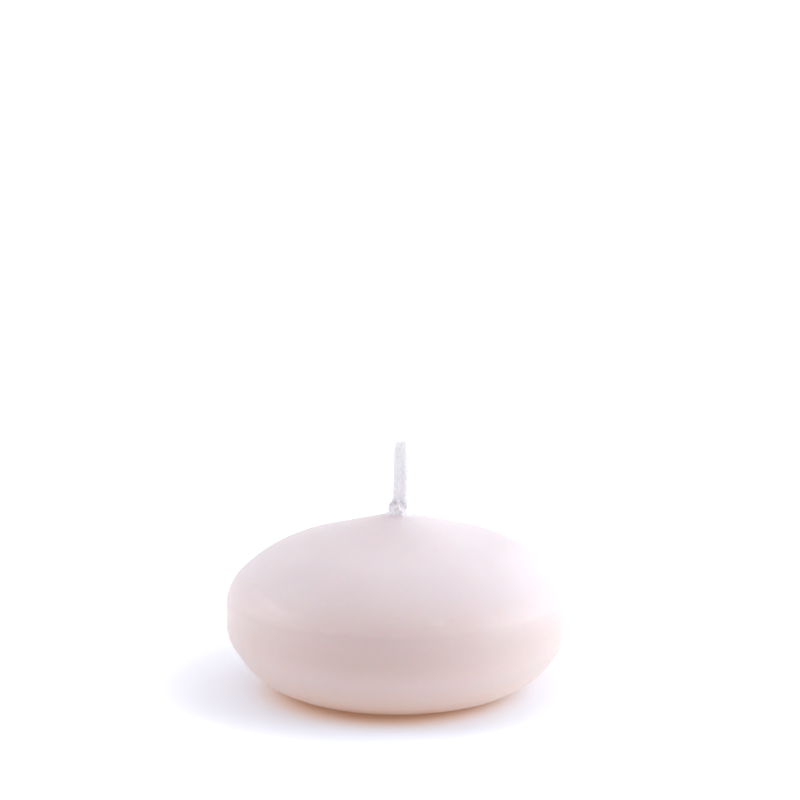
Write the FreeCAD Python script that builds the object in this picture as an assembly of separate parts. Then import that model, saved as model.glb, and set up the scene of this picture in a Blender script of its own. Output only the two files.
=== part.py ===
import math
import os

from FreeCAD import Vector  # FreeCAD itself has to start before its Part module
import Part

# Floating candle: a moulded wax disc with a braided cotton wick, held from below by a drawn tinplate sustainer.
# Millimetres, +Z up. The origin is on the candle's axis, in the plane that the candle stands on.

# Wax body
BODY_DIAMETER = 45.0
BASE_FLAT_DIAMETER = 25.3
BAND_FOOT = 8.5             # height where the upright waist band begins
BAND_HEIGHT = 2.3
CROWN_HEIGHT = 23.3         # where the crown's straight slope would meet the axis
TAPER_LENGTH = 1.6          # straight run between the round under the base and the corner below the band
CROWN_SLOPE_LENGTH = 14.2   # the crown's straight slope, from the axis to where the dome begins

# How steep the outline is, as a multiple of the mean slope of its half of the body, below or above the band
TAPER_SLOPE_RATIO = 1.82
DOME_SLOPE_RATIO = 1.825    # where the shoulder hands over to the dome
CROWN_SLOPE_RATIO = 0.56

# Wick: a flat cotton braid of two columns of stitches, pressed round where it runs through the wax
WICK_DIAMETER = 2.1
WICK_EXPOSED = 9.4          # from the crown to the cut tip
BRAID_WIDTH = 2.06
BRAID_THICKNESS = 1.5
WICK_LEAN = 0.45            # how far the tip stands to +X of the candle's axis
TIP_TAPER_LENGTH = 1.9
TIP_TAPER = 0.14            # taken off all round over that length
TIP_BEVEL = 0.2             # at the cut, where the stitches fray

# Wax that climbs the wick
COLLAR_WALL = 0.2
COLLAR_HEIGHT = 0.75        # above the crown
COLLAR_FILLET = 1.15

# Wick sustainer
SUSTAINER_DIAMETER = 12.6
SHEET_THICKNESS = 0.25
SUSTAINER_RECESS = 0.35     # from the standing plane up to the disc
NECK_HEIGHT = 3.2           # from the disc's underside to the top of the neck
NECK_BEND = 0.35            # inside radius where the disc turns up into the neck

# Gaps that the cooling wax leaves
WICK_CLEARANCE = 0.02
SUSTAINER_CLEARANCE = 0.02

BODY_RADIUS = BODY_DIAMETER / 2
BASE_FLAT_RADIUS = BASE_FLAT_DIAMETER / 2
WICK_RADIUS = WICK_DIAMETER / 2
BORE_RADIUS = WICK_RADIUS + WICK_CLEARANCE
NECK_INSIDE = BORE_RADIUS
NECK_OUTSIDE = NECK_INSIDE + SHEET_THICKNESS
SUSTAINER_RADIUS = SUSTAINER_DIAMETER / 2
SUSTAINER_TOP = SUSTAINER_RECESS + SHEET_THICKNESS
NECK_TOP = SUSTAINER_RECESS + NECK_HEIGHT
COLLAR_RADIUS = BORE_RADIUS + COLLAR_WALL
COLLAR_TOP = CROWN_HEIGHT + COLLAR_HEIGHT
WICK_TIP = CROWN_HEIGHT + WICK_EXPOSED
BRAID_LENGTH = WICK_TIP - COLLAR_TOP
BAND_TOP = BAND_FOOT + BAND_HEIGHT
LOWER_MEAN_SLOPE = BAND_FOOT / (BODY_RADIUS - BASE_FLAT_RADIUS)
UPPER_MEAN_SLOPE = (CROWN_HEIGHT - BAND_TOP) / BODY_RADIUS

FULL_TURN = 360.0
HALF_TURN = 180.0
QUARTER = 90.0

# Headings of the outline from the base to the crown, in degrees from straight outwards
TAPER_ANGLE = math.degrees(math.atan(TAPER_SLOPE_RATIO * LOWER_MEAN_SLOPE))
BAND_ANGLE = QUARTER
DOME_ANGLE = HALF_TURN - math.degrees(math.atan(DOME_SLOPE_RATIO * UPPER_MEAN_SLOPE))
CROWN_ANGLE = HALF_TURN - math.degrees(math.atan(CROWN_SLOPE_RATIO * UPPER_MEAN_SLOPE))

AXIS_FOOT = Vector(0, 0, 0)
UP = Vector(0, 0, 1)


def heading(degrees):
    """The direction of a heading in the XZ plane: 0 is outwards and 90 is up."""
    return Vector(math.cos(math.radians(degrees)), 0, math.sin(math.radians(degrees)))


def unit_step(first, last):
    """How far outwards and up a curve of radius 1 goes between two headings, or a line of length 1 if they agree."""
    a, b = math.radians(first), math.radians(last)
    if first == last:
        return math.cos(a), math.sin(a)
    return math.sin(b) - math.sin(a), math.cos(a) - math.cos(b)


def close_chain(outwards, up, chain):
    """A chain lists (size or None, first heading, last heading). Its two unknown sizes are worked out so that
    the chain covers the distance outwards and up, and the full list of sizes is returned."""
    unknown = []
    for size, first, last in chain:
        step = unit_step(first, last)
        if size is None:
            unknown.append(step)
        else:
            outwards -= size * step[0]
            up -= size * step[1]
    (a, c), (b, d) = unknown
    scale = a * d - b * c
    found = [(outwards * d - b * up) / scale, (a * up - outwards * c) / scale]
    return [found.pop(0) if link[0] is None else link[0] for link in chain]


def tangent_edge(start, size, first, last):
    """A line, or an arc that turns left, which leaves start at one heading and ends at the other."""
    if first == last:
        end = start + heading(first) * size
        return line(start, end), end
    centre = start + heading(first + QUARTER) * size
    middle = centre + heading((first + last) / 2 - QUARTER) * size
    end = centre + heading(last - QUARTER) * size
    return Part.Arc(start, middle, end).toShape(), end


def tangent_edges(start, end, chain):
    """The chain's edges from start to end, each tangent to the next, and the point where the last one begins."""
    sizes = close_chain(end.x - start.x, end.z - start.z, chain)
    edges, point = [], start
    for size, link in zip(sizes, chain):
        begins = point
        edge, point = tangent_edge(point, size, link[1], link[2])
        edges.append(edge)
    return edges, begins


def line(start, end):
    return Part.LineSegment(start, end).toShape()


def lower_outline():
    """The round under the base, the straight taper and the corner, up to the band."""
    chain = [(None, 0, TAPER_ANGLE), (TAPER_LENGTH, TAPER_ANGLE, TAPER_ANGLE), (None, TAPER_ANGLE, BAND_ANGLE)]
    return tangent_edges(Vector(BASE_FLAT_RADIUS, 0, 0), Vector(BODY_RADIUS, 0, BAND_FOOT), chain)[0]


def upper_outline():
    """The band, the shoulder, the dome, and the crown's straight slope as far as the collar's fillet."""
    chain = [
        (None, BAND_ANGLE, DOME_ANGLE),
        (None, DOME_ANGLE, CROWN_ANGLE),
        (CROWN_SLOPE_LENGTH, CROWN_ANGLE, CROWN_ANGLE),
    ]
    band_top = Vector(BODY_RADIUS, 0, BAND_TOP)
    edges, slope_start = tangent_edges(band_top, Vector(0, 0, CROWN_HEIGHT), chain)
    fillet, foot, top = crown_fillet()
    slope = line(slope_start, foot)
    return [line(Vector(BODY_RADIUS, 0, BAND_FOOT), band_top)] + edges[:-1] + [slope, fillet], top


def crown_fillet():
    """The concave arc from the crown's slope up to the side of the collar."""
    across = COLLAR_RADIUS + COLLAR_FILLET
    slope = heading(CROWN_ANGLE)
    outwards = heading(CROWN_ANGLE - QUARTER)
    along = (across - outwards.x * COLLAR_FILLET) / slope.x
    foot = Vector(0, 0, CROWN_HEIGHT) + slope * along
    centre = foot + outwards * COLLAR_FILLET
    top = Vector(COLLAR_RADIUS, 0, centre.z)
    middle = centre + ((foot - centre).normalize() + (top - centre).normalize()).normalize() * COLLAR_FILLET
    return Part.Arc(foot, middle, top).toShape(), foot, top


def sustainer_seat():
    """The hollow that the sustainer fills: its recess in the foot, and the wax's cast of its neck."""
    wall = NECK_OUTSIDE + SUSTAINER_CLEARANCE
    ceiling = SUSTAINER_TOP + SUSTAINER_CLEARANCE
    neck_end = NECK_TOP + SUSTAINER_CLEARANCE
    mouth_radius = SUSTAINER_RADIUS + SUSTAINER_CLEARANCE
    bend_centre = Vector(NECK_OUTSIDE + NECK_BEND, 0, SUSTAINER_TOP + NECK_BEND)
    bend_top = Vector(wall, 0, bend_centre.z)
    bend_foot = Vector(bend_centre.x, 0, ceiling)
    below = Vector(0, 0, -SHEET_THICKNESS)
    mouth = Vector(mouth_radius, 0, below.z)
    rim = Vector(mouth_radius, 0, ceiling)
    edges = [
        line(below, mouth),
        line(mouth, rim),
        line(rim, bend_foot),
        line(bend_foot, bend_top),
        line(bend_top, Vector(wall, 0, neck_end)),
        line(Vector(wall, 0, neck_end), Vector(0, 0, neck_end)),
        line(Vector(0, 0, neck_end), below),
    ]
    return Part.Face(Part.Wire(edges)).revolve(AXIS_FOOT, UP, FULL_TURN)


def wax_body():
    """The moulded body, less the wick's own passage and the sustainer's seat."""
    upper, collar_foot = upper_outline()
    collar_edge = Vector(COLLAR_RADIUS, 0, COLLAR_TOP)
    collar_middle = Vector(0, 0, COLLAR_TOP)
    edges = [line(AXIS_FOOT, Vector(BASE_FLAT_RADIUS, 0, 0))] + lower_outline() + upper
    edges += [line(collar_foot, collar_edge), line(collar_edge, collar_middle), line(collar_middle, AXIS_FOOT)]
    body = Part.Face(Part.Wire(edges)).revolve(AXIS_FOOT, UP, FULL_TURN)
    return body.cut([wick_form(WICK_CLEARANCE), sustainer_seat()])


def braid_section(height, grow):
    """The outline of the braid at one height above the collar: two lobes that meet in a groove front and back."""
    offset = WICK_LEAN * height / BRAID_LENGTH
    lobe = BRAID_THICKNESS / 2 + grow
    centre = (BRAID_WIDTH - BRAID_THICKNESS) / 2
    side = centre + lobe
    groove = math.sqrt(lobe**2 - centre**2)
    front, back = Vector(offset, -groove, COLLAR_TOP + height), Vector(offset, groove, COLLAR_TOP + height)
    right = Part.Arc(front, Vector(offset + side, 0, front.z), back).toShape()
    left = Part.Arc(back, Vector(offset - side, 0, front.z), front).toShape()
    return Part.Wire([right, left])


def wick_form(grow):
    """A round, wax-filled cord inside the candle that carries on as a flat braid above the collar."""
    spans = [
        (0, 0),
        (BRAID_LENGTH - TIP_TAPER_LENGTH, 0),
        (BRAID_LENGTH - TIP_BEVEL, TIP_TAPER),
        (BRAID_LENGTH, TIP_TAPER + TIP_BEVEL),
    ]
    braid = Part.makeLoft([braid_section(height, grow - lost) for height, lost in spans], True, True)
    cord = Part.makeCylinder(WICK_RADIUS + grow, COLLAR_TOP + grow - SUSTAINER_RECESS, UP * SUSTAINER_RECESS)
    return cord.fuse(braid)


def wick():
    return wick_form(0.0)


def wick_sustainer():
    """A disc drawn up in the middle into a neck that grips the wick, in sheet of one thickness."""
    outer_bend = NECK_BEND + SHEET_THICKNESS
    bend_centre = Vector(NECK_OUTSIDE + NECK_BEND, 0, SUSTAINER_TOP + NECK_BEND)
    diagonal = heading(QUARTER * 2.5)
    neck_inner_foot = Vector(NECK_INSIDE, 0, bend_centre.z)
    disc_inner_foot = Vector(bend_centre.x, 0, SUSTAINER_RECESS)
    disc_edge_low = Vector(SUSTAINER_RADIUS, 0, SUSTAINER_RECESS)
    disc_edge_high = Vector(SUSTAINER_RADIUS, 0, SUSTAINER_TOP)
    disc_outer_foot = Vector(bend_centre.x, 0, SUSTAINER_TOP)
    neck_outer_foot = Vector(NECK_OUTSIDE, 0, bend_centre.z)
    neck_outer_top = Vector(NECK_OUTSIDE, 0, NECK_TOP)
    neck_inner_top = Vector(NECK_INSIDE, 0, NECK_TOP)
    edges = [
        Part.Arc(neck_inner_foot, bend_centre + diagonal * outer_bend, disc_inner_foot).toShape(),
        line(disc_inner_foot, disc_edge_low),
        line(disc_edge_low, disc_edge_high),
        line(disc_edge_high, disc_outer_foot),
        Part.Arc(disc_outer_foot, bend_centre + diagonal * NECK_BEND, neck_outer_foot).toShape(),
        line(neck_outer_foot, neck_outer_top),
        line(neck_outer_top, neck_inner_top),
        line(neck_inner_top, neck_inner_foot),
    ]
    return Part.Face(Part.Wire(edges)).revolve(AXIS_FOOT, UP, FULL_TURN)


def main():
    os.makedirs("parts", exist_ok=True)
    pieces = {"wax_body": wax_body(), "wick": wick(), "wick_sustainer": wick_sustainer()}
    for name, shape in pieces.items():
        solid = shape.Solids[0]
        print(name, len(shape.Solids), "solid", round(solid.Volume, 1), "mm3, valid", solid.isValid())
        solid.exportStep(f"parts/{name}.step")


main()
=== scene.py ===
import math

import bpy
from mathutils import Matrix, Vector, noise


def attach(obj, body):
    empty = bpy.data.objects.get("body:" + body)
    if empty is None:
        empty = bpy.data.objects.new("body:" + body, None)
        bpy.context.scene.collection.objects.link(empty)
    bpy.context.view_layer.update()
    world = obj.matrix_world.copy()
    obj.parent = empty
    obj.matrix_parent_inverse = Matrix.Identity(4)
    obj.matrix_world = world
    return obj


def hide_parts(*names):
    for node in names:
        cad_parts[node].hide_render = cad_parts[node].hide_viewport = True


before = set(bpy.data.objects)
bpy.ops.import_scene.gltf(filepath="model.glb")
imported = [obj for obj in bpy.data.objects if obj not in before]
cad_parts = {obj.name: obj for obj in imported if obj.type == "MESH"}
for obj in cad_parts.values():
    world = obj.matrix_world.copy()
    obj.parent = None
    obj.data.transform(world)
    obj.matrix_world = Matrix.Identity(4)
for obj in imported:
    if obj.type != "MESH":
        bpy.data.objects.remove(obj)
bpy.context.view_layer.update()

# A small floating candle: moulded wax, a braided cotton wick and the tinned sustainer under it.
# Sizes are in millimetres, +Z up, with the candle standing on Z = 0. Meshes are brought to metres as they are made.
MM = 0.001

# Outline of the wax
BODY_RADIUS = 22.5
BASE_FLAT_RADIUS = 12.65
BAND_FOOT = 8.5
BAND_TOP = 10.8
CROWN_HEIGHT = 23.3  # where the crown's slope would meet the axis
TAPER_LENGTH = 1.6
CROWN_SLOPE_LENGTH = 14.2
TAPER_ANGLE = math.degrees(math.atan(1.82 * BAND_FOOT / (BODY_RADIUS - BASE_FLAT_RADIUS)))
BAND_ANGLE = 90.0
DOME_ANGLE = 180 - math.degrees(math.atan(1.825 * (CROWN_HEIGHT - BAND_TOP) / BODY_RADIUS))
CROWN_ANGLE = 180 - math.degrees(math.atan(0.56 * (CROWN_HEIGHT - BAND_TOP) / BODY_RADIUS))
COLLAR_RADIUS = 1.27
COLLAR_FILLET = 1.15
COLLAR_TOP = 24.05
LIP = [(1.22, 24.2), (1.14, 24.34), (1.06, 24.5), (1.0, 24.68), (0.94, 24.84)]  # the wax that climbs the wick
LIP_INSIDE = 0.8
LIP_EDGE = 0.12
BORE_RADIUS = 1.07
BORE_BEVEL = 0.1
NECK_SEAT_RADIUS = 1.34
NECK_SEAT_TOP = 3.57
SEAT_RADIUS = 6.32
SEAT_CEILING = 0.62
SEAT_BEND = 0.33

# Steps of the wax's mesh
ROUND_STEPS = 288
LOWER_STEPS = (26, 5, 14)
BAND_STEPS = 8
UPPER_STEPS = (28, 26, 1)
SLOPE_STEPS = 30
FILLET_STEPS = 16
COLLAR_STEPS = 6
LIP_STEPS = 2
BORE_STEPS = 6
FOOT_STEPS = 8

# The wax near the wick isn't turned true: it leans, is torn, and grips a flat wick
COLLAR_LEAN = 0.25
LEAN_START = 22.6
LEAN_RISE = 1.0
LEAN_REACH = 2.6
TORN_DEPTH = 1.0
TORN_REACH = 2.2
TORN_DROP = 0.12  # the torn edge lies this much lower than the even one
ROUGH_REACH = 1.1
ROUGH_SWELL = 0.02
GRIP_FLATNESS = 0.26
GRIP_RISE = 0.6
GRIP_REACH = 1.4
FOOT_FADE = 1.5  # the skin's waves fade out over this height, so that the foot stays flat

# Smooth random relief: how fine it is, how high, and where in the pattern it starts
COOLING_WAVES = [(0.13, 0.035, (0, 0, 0)), (0.5, 0.012, (7, 3, 1))]
COLLAR_ROUGHNESS = [(2.1, 0.16, (3, 8, 2)), (5.2, 0.09, (0, 0, 0))]
COLLAR_EDGE = [(1.3, 0.42, (2, 5, 1)), (4.1, 0.22, (0, 0, 0))]

# Wick
WICK_RADIUS = 1.05
WICK_FOOT = 0.35
WICK_TIP = 32.7
WICK_LEAN = 0.45
CORD_TOP = COLLAR_TOP - 0.35  # inside the collar
CORD_SIDES = 48
CORD_RINGS = 24
END_RINGS, END_STEP = 4, 0.05  # close rings at the foot keep the end's edge crisp
STRANDS = 3
PLIES = 3
CORES = 2
BRAID_POINTS = 110
BRAID_FACES = 2000  # a shell with fewer faces is a void between the plies
YARN_SIDES = 14
GOLDEN_SHARE = 0.618  # spreads the ends of the plies

# Crumbs of wax at the wick's foot
CRUMBS = 16
FIRST_CRUMB = 0.4
GOLDEN_ANGLE = 2.399963
SHUFFLE = 7.31  # so that a crumb's size doesn't go with its height

# Dents and lumps of the skin: place, reach, and height outwards (negative is a dent)
DENTS = [
    (Vector((6.4, -21.2, 14.4)), 0.65, -0.09),
    (Vector((4.9, -21.6, 14.3)), 0.9, 0.035),
    (Vector((-16.6, -15.0, 14.2)), 0.7, -0.05),
    (Vector((-15.2, -14.0, 15.6)), 1.1, 0.03),
    (Vector((-18.2, -13.2, 12.9)), 1.0, -0.03),
    (Vector((16.2, -13.4, 14.8)), 0.6, 0.05),
    (Vector((12.9, -6.5, 18.2)), 0.5, -0.05),
]
DENT_LIMIT = 3  # reaches from its middle, past which a dent is nothing

# Specks in the wax's colour, among them painted highlights, a painted glint and painted shade in a dent: place,
# reach, and how much darker (negative is brighter)
SPECKS_AND_PAINTED_LIGHT = [
    ((0.9, -20.4, 15.9), 0.32, 0.08),
    ((13.3, -9.6, 18.2), 0.5, 0.05),
    ((15.4, -10.2, 17.0), 0.4, 0.05),
    # painted highlights: bright wavy streaks across the left of the shoulder
    ((-16.5, -12.6, 15.5), 0.3, -0.05),
    ((-19.3, -9.4, 15.1), 1.7, -0.035),
    ((-18.3, -11.2, 14.9), 1.9, -0.045),
    ((-17.2, -12.8, 14.6), 1.9, -0.05),
    ((-16.0, -14.3, 14.3), 1.8, -0.05),
    ((-14.8, -15.6, 14.0), 1.5, -0.04),
    ((-13.7, -16.7, 13.9), 1.2, -0.025),
    # painted shade in a dent, and a painted highlight beside it
    ((6.9, -20.4, 14.3), 0.8, 0.06),
    ((5.2, -20.9, 14.2), 1.5, -0.035),
    # painted glint
    ((16.4, -13.3, 14.8), 0.45, -0.12),
]
SPECK_STRETCH = (1.0, 1.0, 2.2)  # they are longer round the candle than up it

# Colours of the wax, and where each sets in: from none to all of it, by height or by distance from the axis
WAX_CLOUD = (0.85, 0.752, 0.776)
WAX_PALE = (0.87, 0.772, 0.796)
# painted shade: the waist's darker, warmer colour stands in for shade and for warm light through the wax
WAX_PAINTED_WAIST_SHADE = (0.822, 0.67, 0.622)
# painted light: the foot's warm colour stands in for light glowing through the wax near the table
WAX_PAINTED_FOOT_GLOW = (0.86, 0.66, 0.555)
WAX_TORN = (0.99, 0.945, 0.985)
PAINTED_WAIST_HEIGHTS = (18.5, 9.0)
PAINTED_FOOT_HEIGHTS, PAINTED_FOOT_RADII = (6.5, 0.8), (11.5, 14.0)
TORN_HEIGHTS, TORN_RADII = (22.8, 23.4), (2.3, 1.6)
THIN_HEIGHTS, THIN_RADII = (21.9, 22.8), (3.6, 2.0)  # thin wax on the wick, with no light from inside
MOULD_LINE = (12.75, 13.45)
LINE_WOBBLE = 1.1
# painted shade: the wax below the mould line is this much darker
PAINTED_LINE_SHADE = 0.03
SHOULDER_FOOT, SHOULDER_TOP = (11.8, 13.4), (17.5, 15.0)

# Colours of the wick and of the tinplate
COTTON_GAPS = (0.925, 0.862, 0.935)
COTTON_FIBRES = (0.97, 0.912, 0.97)
COTTON_TIP = (1.0, 0.99, 1.0)
COTTON_TIP_FOOT = 28.0  # height where the yarn starts to get paler
TIN_DULL = (0.66, 0.66, 0.67)
TIN_BRIGHT = (0.76, 0.75, 0.74)

# Table, light and camera
TABLE_HALF = 2500
TABLE_COOL = (0.88, 0.915, 1.0)
# painted light: the table's warm colour near the candle's foot stands in for light through the wax
TABLE_PAINTED_WAX_LIGHT = (0.85, 0.66, 0.54)
GLOW_COOL = (1.0, 0.985, 1.0)
GLOW_PAINTED_WAX_LIGHT = (0.97, 0.68, 0.52)
# painted shadow: the table's glow is dimmed round this centre, out to these radii, which darkens the table round the
# candle
PAINTED_SHADOW_CENTRE, PAINTED_SHADOW_RADII = (-3.0, 1.0, 0.0), (22.0, 46.0)
PAINTED_SHADOW_GLOW, OPEN_GLOW = 0.15, 0.95
# painted contact shadow: near the foot the table is darker, with painted warm light through the wax
CONTACT_CENTRE, CONTACT_RADII = (-1.0, -3.0, 0.0), (12.0, 19.2)
PAINTED_CONTACT_SHADOW_GLOW = 0.1
# painted light: the table gives off this glow onto the candle
PAINTED_BOUNCE_GLOW = 0.145  # what the table gives the candle, beside what it reflects
WORLD_STRENGTH = 0.5
WORLD_TINT = (1.0, 0.895, 0.835)
WHITE = (1.0, 1.0, 1.0)
LAMPS = [  # name, place, what it looks at, width and height, watts, colour
    ("key", (430, 0, 140), (0, 0, 10), (420, 260), 1.59, (0.745, 0.905, 1.03)),
    ("back_right", (260, 330, 240), (0, 0, 12), (300, 300), 0.29, WHITE),
    ("left_fill", (-400, 40, 180), (0, 0, 10), (260, 260), 0.68, (0.75, 0.92, 1.08)),
    ("top", (0, 60, 420), (0, 0, 10), (320, 320), 0.37, (0.94, 0.95, 1.0)),
]
EYE_RISE = 16.0  # degrees above the horizontal
EYE_DISTANCE = 450
EYE_TARGET = 11  # height of the wax's middle
EYE_LIFT = 3.378  # degrees that it looks above the target
EYE_PAN = -0.045  # degrees that it turns to the left
LENS = 153.7


def clamp(value):
    return max(0.0, min(1.0, value))


def unit_step(first, last):
    """How far a curve of radius 1 goes between two headings, or a line of length 1 if they agree."""
    a, b = math.radians(first), math.radians(last)
    if first == last:
        return math.cos(a), math.sin(a)
    return math.sin(b) - math.sin(a), math.cos(a) - math.cos(b)


def close_chain(outwards, up, chain):
    """Fills in the two unknown sizes of a chain of tangent arcs and lines."""
    unknown = []
    for size, first, last in chain:
        step = unit_step(first, last)
        if size is None:
            unknown.append(step)
        else:
            outwards -= size * step[0]
            up -= size * step[1]
    (a, c), (b, d) = unknown
    scale = a * d - b * c
    found = [(outwards * d - b * up) / scale, (a * up - outwards * c) / scale]
    return [found.pop(0) if size is None else size for size, _, _ in chain]


def follow_chain(start, end, chain, counts):
    """Points along the chain from start to end, without the start itself."""
    sizes = close_chain(end[0] - start[0], end[1] - start[1], chain)
    points, at = [], start
    for size, (_, first, last), count in zip(sizes, chain, counts):
        for step in range(1, count + 1):
            if first == last:
                run, rise = unit_step(first, last)
                reach = size * step / count
            else:
                run, rise = unit_step(first, first + (last - first) * step / count)
                reach = size
            points.append((at[0] + reach * run, at[1] + reach * rise))
        at = points[-1]
    return points


def straight(start, end, count):
    """Points along a straight run, without its start."""
    return [
        (start[0] + (end[0] - start[0]) * step / count, start[1] + (end[1] - start[1]) * step / count)
        for step in range(1, count + 1)
    ]


def collar_fillet():
    """Where the crown's slope meets the fillet, and the points of the fillet up to the collar."""
    slope = (math.cos(math.radians(CROWN_ANGLE)), math.sin(math.radians(CROWN_ANGLE)))
    outwards = (math.cos(math.radians(CROWN_ANGLE - 90)), math.sin(math.radians(CROWN_ANGLE - 90)))
    along = (COLLAR_RADIUS + COLLAR_FILLET - outwards[0] * COLLAR_FILLET) / slope[0]
    foot = (slope[0] * along, CROWN_HEIGHT + slope[1] * along)
    centre = (foot[0] + outwards[0] * COLLAR_FILLET, foot[1] + outwards[1] * COLLAR_FILLET)
    first, last = math.atan2(foot[1] - centre[1], foot[0] - centre[0]), -math.pi
    points = []
    for step in range(1, FILLET_STEPS + 1):
        angle = first + (last - first) * step / FILLET_STEPS
        points.append((centre[0] + COLLAR_FILLET * math.cos(angle), centre[1] + COLLAR_FILLET * math.sin(angle)))
    return foot, points


def wax_outline():
    """The closed section of the wax: the skin from the foot to the lip, then the passage and the seat."""
    lower = [(None, 0, TAPER_ANGLE), (TAPER_LENGTH, TAPER_ANGLE, TAPER_ANGLE), (None, TAPER_ANGLE, BAND_ANGLE)]
    upper = [(None, BAND_ANGLE, DOME_ANGLE), (None, DOME_ANGLE, CROWN_ANGLE)]
    upper += [(CROWN_SLOPE_LENGTH, CROWN_ANGLE, CROWN_ANGLE)]
    skin = [(BASE_FLAT_RADIUS, 0.0)]
    skin += follow_chain(skin[-1], (BODY_RADIUS, BAND_FOOT), lower, LOWER_STEPS)
    skin += straight(skin[-1], (BODY_RADIUS, BAND_TOP), BAND_STEPS)
    skin += follow_chain(skin[-1], (0.0, CROWN_HEIGHT), upper, UPPER_STEPS)[:-1]
    foot, fillet = collar_fillet()
    skin += straight(skin[-1], foot, SLOPE_STEPS) + fillet
    skin += straight(skin[-1], (COLLAR_RADIUS, COLLAR_TOP), COLLAR_STEPS)
    for point in LIP:
        skin += straight(skin[-1], point, LIP_STEPS)

    inside = [(LIP_INSIDE, LIP[-1][1] - LIP_EDGE), (LIP_INSIDE, COLLAR_TOP), (BORE_RADIUS, COLLAR_TOP - BORE_BEVEL)]
    inside += straight(inside[-1], (BORE_RADIUS, NECK_SEAT_TOP), BORE_STEPS)
    inside += [(NECK_SEAT_RADIUS, NECK_SEAT_TOP), (NECK_SEAT_RADIUS, SEAT_CEILING + SEAT_BEND)]
    inside += [(NECK_SEAT_RADIUS + SEAT_BEND, SEAT_CEILING), (SEAT_RADIUS, SEAT_CEILING), (SEAT_RADIUS, 0.0)]
    inside += straight(inside[-1], skin[0], FOOT_STEPS)[:-1]
    return skin + inside, len(skin)


def relief(point, waves):
    """The height of smooth random waves at a point."""
    return sum(height * noise.noise(point * fineness + Vector(start)) for fineness, height, start in waves)


def skin_lift(point):
    """How far the wax stands off its ideal form at a point: slow waves from cooling, dents, and the torn collar."""
    lift = relief(point, COOLING_WAVES)
    for place, reach, height in DENTS:
        gap = (point - place).length / reach
        if gap < DENT_LIMIT:
            lift += height * math.exp(-gap * gap)
    near = max(0.0, 1 - (math.hypot(point.x, point.y) - COLLAR_RADIUS) / ROUGH_REACH)
    if near:
        lift += near * near * (relief(point, COLLAR_ROUGHNESS) + ROUGH_SWELL)
    return lift


def torn_edge(out):
    """How far the collar's edge stands above or below its even height, in a direction from the axis."""
    return relief(out, COLLAR_EDGE) - TORN_DROP


def collar_lean(height):
    """How far the collar, and the cord in it, lean to the right at a height."""
    return COLLAR_LEAN * clamp((height - LEAN_START) / LEAN_RISE)


def turned(out, reach, height):
    """A point of the section in a direction from the axis, with what is uneven round the wick."""
    if height > COLLAR_TOP - TORN_DEPTH and reach < TORN_REACH:
        height += torn_edge(out) * (height - COLLAR_TOP + TORN_DEPTH)
    lean = collar_lean(height) if reach < LEAN_REACH else 0.0
    flat = 1 - GRIP_FLATNESS * clamp((height - COLLAR_TOP) / GRIP_RISE) if reach < GRIP_REACH else 1.0
    return Vector((out.x * reach + lean, out.y * reach * flat, height))


def spin(outline, skin_count):
    """Turns the closed section into a mesh, lifting the skin's points along their normals."""
    total = len(outline)
    points, faces = [], []
    for step in range(ROUND_STEPS):
        turn = 2 * math.pi * step / ROUND_STEPS
        out = Vector((math.cos(turn), math.sin(turn), 0))
        for index, (reach, height) in enumerate(outline):
            place = turned(out, reach, height)
            if 0 < index < skin_count:
                before, after = outline[index - 1], outline[min(index + 1, skin_count - 1)]
                run, rise = after[0] - before[0], after[1] - before[1]
                length = math.hypot(run, rise)
                normal = out * (rise / length) - Vector((0, 0, run / length))
                place += normal * (skin_lift(place) * min(1.0, height / FOOT_FADE))
            points.append(place)
        here, there = step * total, (step + 1) % ROUND_STEPS * total
        for index in range(total):
            after = (index + 1) % total
            faces.append((here + index, there + index, there + after, here + after))
    return points, faces


def cord_heights():
    """Heights of the rings of the cord that wax and sustainer hold."""
    heights = [WICK_FOOT + END_STEP * step for step in range(END_RINGS)]
    return heights + [WICK_FOOT + step * (CORD_TOP - WICK_FOOT) / CORD_RINGS for step in range(1, CORD_RINGS + 1)]


def cord(heights, radius, sides):
    """A closed round cord with a ring of points at each height."""
    points, faces = [], []
    for height in heights:
        for side in range(sides):
            turn = 2 * math.pi * side / sides
            points.append(Vector((collar_lean(height) + radius * math.cos(turn), radius * math.sin(turn), height)))
    for here in range(0, len(points) - sides, sides):
        for side in range(sides):
            after = (side + 1) % sides
            faces.append((here + side, here + after, here + sides + after, here + sides + side))
    faces.append(tuple(reversed(range(sides))))
    faces.append(tuple(range(len(points) - sides, len(points))))
    return points, faces


def show(name, mesh):
    """An object at the origin for a mesh in metres, with smooth faces."""
    for polygon in mesh.polygons:
        polygon.use_smooth = True
    piece = bpy.data.objects.new(name, mesh)
    bpy.context.scene.collection.objects.link(piece)
    return piece


def mesh_object(name, points, faces):
    mesh = bpy.data.meshes.new(name)
    mesh.from_pydata([point * MM for point in points], [], faces)
    mesh.update()
    return show(name, mesh)


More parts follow.
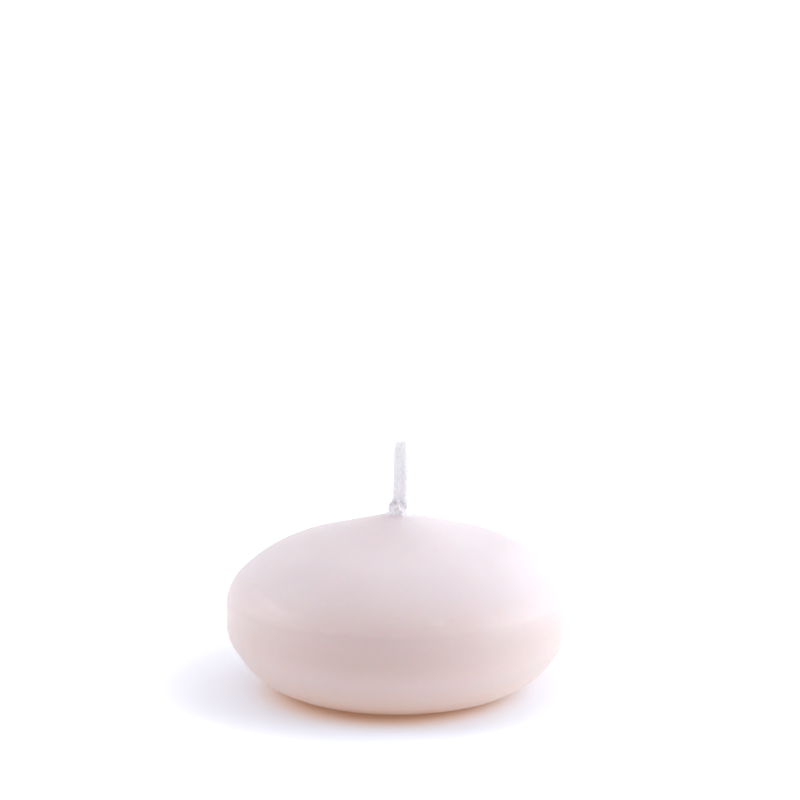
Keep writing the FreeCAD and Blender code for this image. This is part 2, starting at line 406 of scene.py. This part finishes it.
class Nodes:
    """A short way to write node trees."""

    def __init__(self, tree):
        self.tree = tree

    def wire(self, target, value):
        """Links an input to a socket or to a node's first output, or else sets it."""
        if isinstance(value, bpy.types.Node):
            value = value.outputs[0]
        if isinstance(value, bpy.types.NodeSocket):
            self.tree.links.new(value, target)
        else:
            target.default_value = value

    def feed(self, node, *values, **inputs):
        """Fills a node's inputs in order, or by name with two underscores for a space, and returns the node."""
        for index, value in enumerate(values):
            self.wire(node.inputs[index], value)
        for name, value in inputs.items():
            self.wire(node.inputs[name.replace("__", " ")], value)
        return node

    def add(self, kind, settings=None, *values, **inputs):
        """A new node with its settings and its inputs."""
        node = self.tree.nodes.new(kind)
        for name, value in (settings or {}).items():
            setattr(node, name, value)
        return self.feed(node, *values, **inputs)

    def math(self, operation, *values):
        return self.add("ShaderNodeMath", {"operation": operation}, *values).outputs[0]

    def chain(self, operation, result, *others):
        for other in others:
            result = self.math(operation, result, other)
        return result

    def plus(self, *values):
        return self.chain("ADD", *values)

    def times(self, *values):
        return self.chain("MULTIPLY", *values)

    def minus(self, value, less):
        return self.math("SUBTRACT", value, less)

    def pick(self, choice, low, high):
        """low where choice is 0 and high where it is 1."""
        return self.plus(low, self.times(choice, self.minus(high, low)))

    def span(self, value, low, high, to_low=0.0, to_high=1.0, smooth=True):
        """Takes the run from low to high to the one from to_low to to_high, and keeps to it outside."""
        node = self.add("ShaderNodeMapRange", {"interpolation_type": "SMOOTHSTEP" if smooth else "LINEAR"})
        return self.feed(node, Value=value, From__Min=low, From__Max=high, To__Min=to_low, To__Max=to_high).outputs[0]

    def blend(self, share, low, high):
        """The colour low where share is 0 and high where it is 1."""
        low, high = ((*colour, 1) if isinstance(colour, tuple) else colour for colour in (low, high))
        return self.add("ShaderNodeMix", {"data_type": "RGBA"}, Factor=share, A=low, B=high).outputs["Result"]

    def vector(self, operation, *values, **inputs):
        return self.add("ShaderNodeVectorMath", {"operation": operation}, *values, **inputs).outputs["Vector"]

    def length(self, vector):
        return self.add("ShaderNodeVectorMath", {"operation": "LENGTH"}, vector).outputs["Value"]

    def place(self, x=0.0, y=0.0, z=0.0):
        return self.add("ShaderNodeCombineXYZ", None, x, y, z)


def empty_material(name):
    material = bpy.data.materials.new(name)
    material.use_nodes = True
    material.node_tree.nodes.clear()
    return material, Nodes(material.node_tree)


def shaded_material(name):
    """A material with its one shader."""
    material, nodes = empty_material(name)
    shader = nodes.add("ShaderNodeBsdfPrincipled")
    nodes.add("ShaderNodeOutputMaterial", Surface=shader)
    return material, nodes, shader


def millimetres(nodes, scale=(1.0, 1.0, 1.0)):
    """Object coordinates in millimetres, stretched by scale."""
    place = nodes.add("ShaderNodeTexCoord").outputs["Object"]
    return nodes.add("ShaderNodeMapping", Vector=place, Scale=tuple(axis / MM for axis in scale)).outputs[0]


def grain(nodes, place, scale, detail, roughness=0.5):
    """Smooth random grey, with about scale grains in a unit of place."""
    node = nodes.add("ShaderNodeTexNoise", Vector=place, Scale=scale, Detail=detail, Roughness=roughness)
    return node.outputs["Fac"]


def emboss(nodes, shader, *layers, strength):
    """Bump made of patterns, each with its height in millimetres."""
    height = nodes.plus(*(nodes.times(pattern, share) for pattern, share in layers))
    nodes.feed(shader, Normal=nodes.add("ShaderNodeBump", Height=height, Distance=MM, Strength=strength))


def wax_material():
    """Pale wax with light inside it: painted shade and warm glow at the waist, painted warm glow at the foot, a mould
    line with painted shade below it, specks with painted highlights, a painted glint and painted dent shade, smears
    and fine pits.
    """
    material, nodes, shader = shaded_material("candle_wax")
    place = millimetres(nodes)
    axes = nodes.add("ShaderNodeSeparateXYZ", Vector=place).outputs
    height = axes["Z"]
    from_axis = nodes.length(nodes.place(axes["X"], axes["Y"]))
    fine = grain(nodes, place, scale=1.1, detail=4.0)

    def zone(heights, radii):
        return nodes.times(nodes.span(height, *heights), nodes.span(from_axis, *radii))

    clouds = grain(nodes, place, scale=0.11, detail=2.0)
    colour = nodes.blend(nodes.span(clouds, 0.35, 0.65), WAX_CLOUD, WAX_PALE)
    # painted shade and warm glow: the wax gets darker and warmer downwards between the waist heights
    colour = nodes.blend(nodes.span(height, *PAINTED_WAIST_HEIGHTS), colour, WAX_PAINTED_WAIST_SHADE)
    # painted light: a warm glow low on the wax, out near its rim
    colour = nodes.blend(zone(PAINTED_FOOT_HEIGHTS, PAINTED_FOOT_RADII), colour, WAX_PAINTED_FOOT_GLOW)
    colour = nodes.blend(zone(TORN_HEIGHTS, TORN_RADII), colour, WAX_TORN)

    spots = []
    # the specks include painted highlights, a painted glint and painted shade in a dent
    for where, reach, depth in SPECKS_AND_PAINTED_LIGHT:
        away = nodes.vector("MULTIPLY", nodes.vector("SUBTRACT", place, where), SPECK_STRETCH)
        spots.append(nodes.span(nodes.length(away), 0.0, reach, depth, 0.0))
    wobble = nodes.times(grain(nodes, place, scale=0.16, detail=2.0), LINE_WOBBLE)
    above_line = nodes.span(nodes.plus(height, wobble), *MOULD_LINE)
    shade = nodes.minus(nodes.span(fine, 0.2, 0.8, 0.985, 1.0), nodes.plus(*spots))
    # painted shade: darker below the mould line
    shade = nodes.times(shade, nodes.plus(1 - PAINTED_LINE_SHADE, nodes.times(above_line, PAINTED_LINE_SHADE)))
    satin = grain(nodes, place, scale=0.6, detail=3.0)
    nodes.feed(
        shader,
        Base__Color=nodes.vector("SCALE", colour, Scale=shade),
        Roughness=nodes.span(satin, 0.3, 0.7, 0.42, 0.54),
        IOR=1.44,
        Specular__IOR__Level=0.3,
        Subsurface__Weight=nodes.span(zone(THIN_HEIGHTS, THIN_RADII), 0.0, 1.0, 0.85, 0.0, smooth=False),
        Subsurface__Radius=(1.0, 0.62, 0.48),
        Subsurface__Scale=0.0024,
        Sheen__Weight=0.12,
        Sheen__Roughness=0.4,
        Sheen__Tint=(0.88, 0.93, 1.0, 1),
    )

    strokes = grain(nodes, millimetres(nodes, (0.24, 0.24, 0.9)), scale=1.0, detail=2.0)
    shoulder = nodes.times(nodes.span(height, *SHOULDER_FOOT), nodes.span(height, *SHOULDER_TOP))
    smears = nodes.times(nodes.span(strokes, 0.55, 0.72), shoulder)
    pores = nodes.add("ShaderNodeTexVoronoi", Vector=place, Scale=0.62, Randomness=1.0).outputs["Distance"]
    pits = nodes.span(pores, 0.03, 0.11, -1.0, 0.0)
    emboss(nodes, shader, (above_line, 0.07), (smears, 0.05), (pits, 0.012), (fine, 0.03), strength=0.8)
    return material


def cotton_material():
    """Cotton yarn soaked in wax, paler towards the dry tip."""
    material, nodes, shader = shaded_material("waxed_cotton_braid")
    place = millimetres(nodes)
    height = nodes.add("ShaderNodeSeparateXYZ", Vector=place).outputs["Z"]
    fibres = grain(nodes, millimetres(nodes, (9, 9, 1.4)), scale=1.0, detail=4.0, roughness=0.6)
    soak = grain(nodes, place, scale=0.9, detail=2.0)
    colour = nodes.blend(nodes.span(fibres, 0.3, 0.7), COTTON_GAPS, COTTON_FIBRES)
    nodes.feed(
        shader,
        Base__Color=nodes.blend(nodes.span(height, COTTON_TIP_FOOT, WICK_TIP), colour, COTTON_TIP),
        Roughness=nodes.span(soak, 0.3, 0.7, 0.35, 0.6),
        Subsurface__Weight=0.9,
        Subsurface__Radius=(1.0, 1.0, 1.0),
        Subsurface__Scale=0.0016,
        Sheen__Weight=0.08,
        Sheen__Roughness=0.5,
    )
    emboss(nodes, shader, (fibres, 0.03), (soak, 0.03), strength=0.7)
    return material


def tinplate_material():
    """Rolled tinplate with dull stains."""
    material, nodes, shader = shaded_material("tinplate")
    rolled = grain(nodes, millimetres(nodes, (0.5, 14, 1)), scale=1.0, detail=3.0)
    stains = grain(nodes, millimetres(nodes), scale=0.35, detail=4.0)
    nodes.feed(
        shader,
        Base__Color=nodes.blend(nodes.span(stains, 0.35, 0.7), TIN_DULL, TIN_BRIGHT),
        Metallic=1.0,
        Roughness=nodes.plus(nodes.span(rolled, 0.3, 0.7, 0.2, 0.3), nodes.span(stains, 0.4, 0.8, 0.0, 0.16)),
    )
    emboss(nodes, shader, (rolled, 0.01), strength=0.6)
    return material


class Tree(Nodes):
    """A Geometry Nodes tree with named inputs."""

    def __init__(self, name):
        super().__init__(bpy.data.node_groups.new(name, "GeometryNodeTree"))
        self.tree.is_modifier = True
        self.tree.interface.new_socket("Geometry", in_out="OUTPUT", socket_type="NodeSocketGeometry")
        self.source = self.tree.nodes.new("NodeGroupInput")
        self.sizes = {}

    def size(self, name, value, kind="NodeSocketFloat"):
        """A named input with its value."""
        socket = self.tree.interface.new_socket(name, in_out="INPUT", socket_type=kind)
        self.sizes[socket.identifier] = value
        return self.source.outputs[socket.name]

    def finish(self, geometry, material):
        realized = self.add("GeometryNodeRealizeInstances", Geometry=geometry)
        painted = self.add("GeometryNodeSetMaterial", Geometry=realized, Material=material)
        self.add("NodeGroupOutput", Geometry=painted)

    def make(self, name):
        """Runs the tree on an empty mesh and gives its result as a plain object, in metres."""
        holder = bpy.data.objects.new(name + "_tree", bpy.data.meshes.new(name + "_tree"))
        bpy.context.scene.collection.objects.link(holder)
        modifier = holder.modifiers.new(name, "NODES")
        modifier.node_group = self.tree
        for identifier, value in self.sizes.items():
            modifier[identifier] = value
        bpy.context.view_layer.update()
        shown = holder.evaluated_get(bpy.context.evaluated_depsgraph_get())
        mesh = bpy.data.meshes.new_from_object(shown)
        mesh.transform(Matrix.Scale(MM, 4))
        mesh.name = name
        bpy.data.objects.remove(holder)
        return show(name, mesh)


def braid_tree(material):
    """The free wick: three strands of three plies, plaited flat over two lobes of core and joined by their wax."""
    tree = Tree("braided_wick")
    foot = tree.size("Foot", COLLAR_TOP - 0.6)
    tip = tree.size("Tip", WICK_TIP + 0.02)
    lean = tree.size("Lean", WICK_LEAN - 0.04)
    pitch = tree.size("Plait Pitch", 3.3)
    swing = tree.size("Strand Swing", 0.66)
    weave = tree.size("Strand Weave", 0.3)
    ply = tree.size("Ply Offset", 0.2)
    twist = tree.size("Ply Twist", 2.2)
    yarn = tree.size("Yarn Radius", 0.3)
    core = tree.size("Core Radius", 0.7)
    lobe = tree.size("Lobe Offset", 0.44)
    taper = tree.size("Taper Length", 2.0)
    tip_width = tree.size("Tip Width", 0.84)
    rounding = tree.size("Rounding Length", 0.5)
    tip_round = tree.size("Rounded Width", 0.72)
    bend = tree.size("Bend Height", 1.6)
    drift = tree.size("Drift", 0.38)
    fray = tree.size("Fray", 0.16)
    voxel = tree.size("Wax Film", 0.05)

    line = tree.add("GeometryNodeCurvePrimitiveLine", Start=tree.place(z=foot), End=tree.place(z=tip))
    line = tree.add("GeometryNodeResampleCurve", Curve=line, Count=BRAID_POINTS)
    plies = STRANDS * PLIES
    copies = tree.add("GeometryNodeDuplicateElements", {"domain": "SPLINE"}, Geometry=line, Amount=plies + CORES)
    number = copies.outputs["Duplicate Index"]
    is_core = tree.math("GREATER_THAN", number, plies - 0.5)
    side = tree.minus(tree.times(tree.minus(number, plies), 2.0), 1.0)
    along = tree.add("GeometryNodeSplineParameter").outputs["Factor"]
    length = tree.minus(tip, foot)
    height = tree.times(along, length)
    to_tip = tree.times(tree.minus(1.0, along), length)

    # Each strand swings across the wick once in a pitch and weaves through it twice, and its plies turn round it
    strand = tree.math("FLOOR", tree.math("DIVIDE", number, PLIES))
    phase = tree.plus(tree.math("DIVIDE", height, pitch), tree.math("DIVIDE", strand, STRANDS))
    turn = tree.times(phase, 2 * math.pi)
    ply_turn = tree.plus(tree.times(number, 2 * math.pi / PLIES), tree.times(height, twist))
    across = tree.plus(tree.times(tree.math("SINE", turn), swing), tree.times(tree.math("COSINE", ply_turn), ply))
    deep = tree.times(tree.math("SINE", tree.times(turn, 2.0)), weave)
    deep = tree.plus(deep, tree.times(tree.math("SINE", ply_turn), ply))

    # The wick narrows and rounds off at the tip, leans, and ends a little unevenly
    narrow = tree.span(to_tip, 0.0, taper, tip_width, 1.0)
    rounded = tree.span(to_tip, 0.0, rounding, tip_round, 1.0)
    leaning = tree.times(lean, tree.plus(tree.span(height, 0.0, bend), tree.times(along, drift)))
    x = tree.plus(tree.times(tree.pick(is_core, across, tree.times(side, lobe)), narrow), leaning)
    y = tree.times(tree.pick(is_core, deep, 0.0), narrow)
    frayed = tree.times(tree.math("FRACT", tree.times(number, GOLDEN_SHARE)), fray)
    z = tree.plus(foot, tree.times(along, tree.minus(length, frayed)))
    radius = tree.times(tree.pick(is_core, yarn, core), tree.times(rounded, narrow))

    yarns = tree.add("GeometryNodeSetPosition", Geometry=copies, Position=tree.place(x, y, z))
    ring = tree.add("GeometryNodeCurvePrimitiveCircle", Resolution=YARN_SIDES, Radius=1.0)
    cords = tree.add("GeometryNodeCurveToMesh", Curve=yarns, Profile__Curve=ring, Scale=radius, Fill__Caps=True)
    by_size = {"resolution_mode": "VOXEL_SIZE"}
    solid = tree.add("GeometryNodeMeshToVolume", by_size, Mesh=cords, Voxel__Size=voxel, Interior__Band__Width=0.4)
    skin = tree.add("GeometryNodeVolumeToMesh", by_size, Volume=solid, Voxel__Size=voxel, Threshold=0.1)
    island = tree.add("GeometryNodeInputMeshIsland").outputs["Island Index"]
    faces = tree.add("GeometryNodeAccumulateField", {"domain": "FACE"}, Value=1.0, Group__ID=island)
    void = tree.math("LESS_THAN", faces.outputs["Total"], BRAID_FACES)
    outside = tree.add("GeometryNodeDeleteGeometry", {"domain": "FACE"}, Geometry=skin, Selection=void)
    tree.finish(outside, material)
    return tree


def crumb_tree(material):
    """Crumbs of torn wax round the foot of the wick."""
    tree = Tree("wax_crumbs")
    seed = tree.size("Seed", 4, "NodeSocketInt")
    radius = tree.size("Ring Radius", 1.24)
    closing = tree.size("Ring Closing", 0.16)
    size = tree.size("Crumb Radius", 0.2)
    smallest = tree.size("Smallest Share", 0.55)
    spread = tree.size("Share Spread", 0.95)
    flatness = tree.size("Crumb Flatness", 0.8)
    fineness = tree.size("Tearing Fineness", 3.4)
    push = tree.size("Tearing", 0.42)
    low = tree.size("Lowest", 23.35)
    high = tree.size("Highest", 24.45)

    line = tree.add("GeometryNodeMeshLine", Count=CRUMBS)
    number = tree.add("GeometryNodeInputIndex").outputs[0]
    turn = tree.plus(tree.times(number, GOLDEN_ANGLE), FIRST_CRUMB)
    share = tree.add("FunctionNodeRandomValue", {"data_type": "FLOAT"}, ID=number, Seed=seed).outputs["Value"]
    away = tree.minus(radius, tree.times(share, closing))
    x = tree.plus(tree.times(tree.math("COSINE", turn), away), COLLAR_LEAN)
    y = tree.times(tree.math("SINE", turn), away)
    z = tree.plus(low, tree.times(share, tree.minus(high, low)))
    spots = tree.add("GeometryNodeSetPosition", Geometry=line, Position=tree.place(x, y, z))
    ball = tree.add("GeometryNodeMeshIcoSphere", Radius=size, Subdivisions=4).outputs["Mesh"]
    grow = tree.plus(smallest, tree.times(tree.math("FRACT", tree.times(share, SHUFFLE)), spread))
    scale = tree.place(grow, grow, tree.times(grow, flatness))
    placed = tree.add("GeometryNodeInstanceOnPoints", Points=spots, Instance=ball, Scale=scale)
    loose = tree.add("GeometryNodeRealizeInstances", Geometry=placed)

    spot = tree.add("GeometryNodeInputPosition")
    rough = tree.add("ShaderNodeTexNoise", {"noise_dimensions": "3D"}, Vector=spot, Scale=fineness, Detail=2.0)
    offset = tree.vector("SUBTRACT", rough.outputs["Color"], (0.5, 0.5, 0.5))
    offset = tree.vector("SCALE", offset, Scale=push)
    torn = tree.add("GeometryNodeSetPosition", Geometry=loose, Offset=offset)
    tree.finish(torn, material)
    return tree


def seen(nodes):
    """1 where the camera looks, also by a reflection or through something, and 0 for light on the candle."""
    rays = nodes.add("ShaderNodeLightPath").outputs
    straight_or_mirrored = nodes.math("MAXIMUM", rays["Is Camera Ray"], rays["Is Glossy Ray"])
    return nodes.math("MAXIMUM", straight_or_mirrored, rays["Is Transmission Ray"])


def stage_floor():
    """A wide white table. It keeps the candle's shadow, adds a painted shadow round the candle and a painted warm
    contact shadow at its foot, gives off painted light onto the candle, and shows white to the camera elsewhere.
    """
    corners = [Vector((x * TABLE_HALF, y * TABLE_HALF, 0)) for x, y in ((-1, -1), (1, -1), (1, 1), (-1, 1))]
    floor = mesh_object("table_top", corners, [(0, 1, 2, 3)])
    material, nodes = empty_material("white_table")
    place = millimetres(nodes)
    from_shadow = nodes.length(nodes.vector("SUBTRACT", place, PAINTED_SHADOW_CENTRE))
    from_contact = nodes.length(nodes.vector("SUBTRACT", place, CONTACT_CENTRE))
    near = nodes.span(from_contact, *CONTACT_RADII, 1.0, 0.0)
    # painted shadow: the glow seen by the camera is low round the candle and rises further out
    open_table = nodes.span(from_shadow, *PAINTED_SHADOW_RADII, PAINTED_SHADOW_GLOW, OPEN_GLOW)
    # painted light: rays the camera doesn't see get the table's glow onto the candle; seen rays get the painted
    # shadows near the candle and white further out
    strength = nodes.pick(seen(nodes), PAINTED_BOUNCE_GLOW, nodes.pick(near, open_table, PAINTED_CONTACT_SHADOW_GLOW))
    # painted contact shadow with painted warm light through the wax near the foot
    matte = nodes.add("ShaderNodeBsdfDiffuse", Color=nodes.blend(near, TABLE_COOL, TABLE_PAINTED_WAX_LIGHT))
    glow = nodes.add("ShaderNodeEmission", Color=nodes.blend(near, GLOW_COOL, GLOW_PAINTED_WAX_LIGHT), Strength=strength)
    nodes.add("ShaderNodeOutputMaterial", Surface=nodes.add("ShaderNodeAddShader", None, matte, glow))
    floor.data.materials.append(material)


def world_light():
    """An even light from all sides that shows white to the camera."""
    world = bpy.data.worlds.new("studio")
    world.use_nodes = True
    world.node_tree.nodes.clear()
    nodes = Nodes(world.node_tree)
    looked_at = seen(nodes)
    strength = nodes.span(looked_at, 0.0, 1.0, WORLD_STRENGTH, 1.0, smooth=False)
    tint = nodes.blend(looked_at, WORLD_TINT, WHITE)
    nodes.add("ShaderNodeOutputWorld", Surface=nodes.add("ShaderNodeBackground", Color=tint, Strength=strength))
    bpy.context.scene.world = world


def lamp(name, place, aim, size, power, colour):
    data = bpy.data.lights.new(name, "AREA")
    data.shape = "RECTANGLE"
    data.size, data.size_y = size[0] * MM, size[1] * MM
    data.energy = power
    data.color = colour
    holder = bpy.data.objects.new(name, data)
    holder.location = Vector(place) * MM
    holder.rotation_euler = (Vector(aim) - Vector(place)).to_track_quat("-Z", "Y").to_euler()
    bpy.context.scene.collection.objects.link(holder)


def camera():
    """The photograph's eye, a long lens that looks down a little."""
    data = bpy.data.cameras.new("camera")
    data.sensor_fit = "HORIZONTAL"
    data.sensor_width = 36.0
    data.lens = LENS
    data.clip_start = 0.01
    data.clip_end = 20.0
    eye = bpy.data.objects.new("camera", data)
    rise = math.radians(EYE_RISE)
    eye.location = Vector((0, -EYE_DISTANCE * math.cos(rise), EYE_TARGET + EYE_DISTANCE * math.sin(rise))) * MM
    eye.rotation_euler = (math.radians(90 - EYE_RISE + EYE_LIFT), 0, math.radians(EYE_PAN))
    bpy.context.scene.collection.objects.link(eye)
    bpy.context.scene.camera = eye


def build():
    wax, cotton, tin = wax_material(), cotton_material(), tinplate_material()

    body = mesh_object("wax_moulding", *spin(*wax_outline()))
    body.data.materials.append(wax)
    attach(body, "root")
    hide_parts("wax_body")

    crumbs = crumb_tree(wax).make("torn_wax")
    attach(crumbs, "root")

    braid = braid_tree(cotton).make("wick_braid")
    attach(braid, "root")
    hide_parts("wick")

    hidden = mesh_object("wick_cord", *cord(cord_heights(), WICK_RADIUS, CORD_SIDES))
    hidden.data.materials.append(cotton)
    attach(hidden, "root")

    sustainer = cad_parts["wick_sustainer"]
    for slot in sustainer.material_slots:
        slot.material = tin

    stage_floor()
    world_light()
    for settings in LAMPS:
        lamp(*settings)
    camera()
    bpy.context.scene.view_settings.view_transform = "Standard"


build()
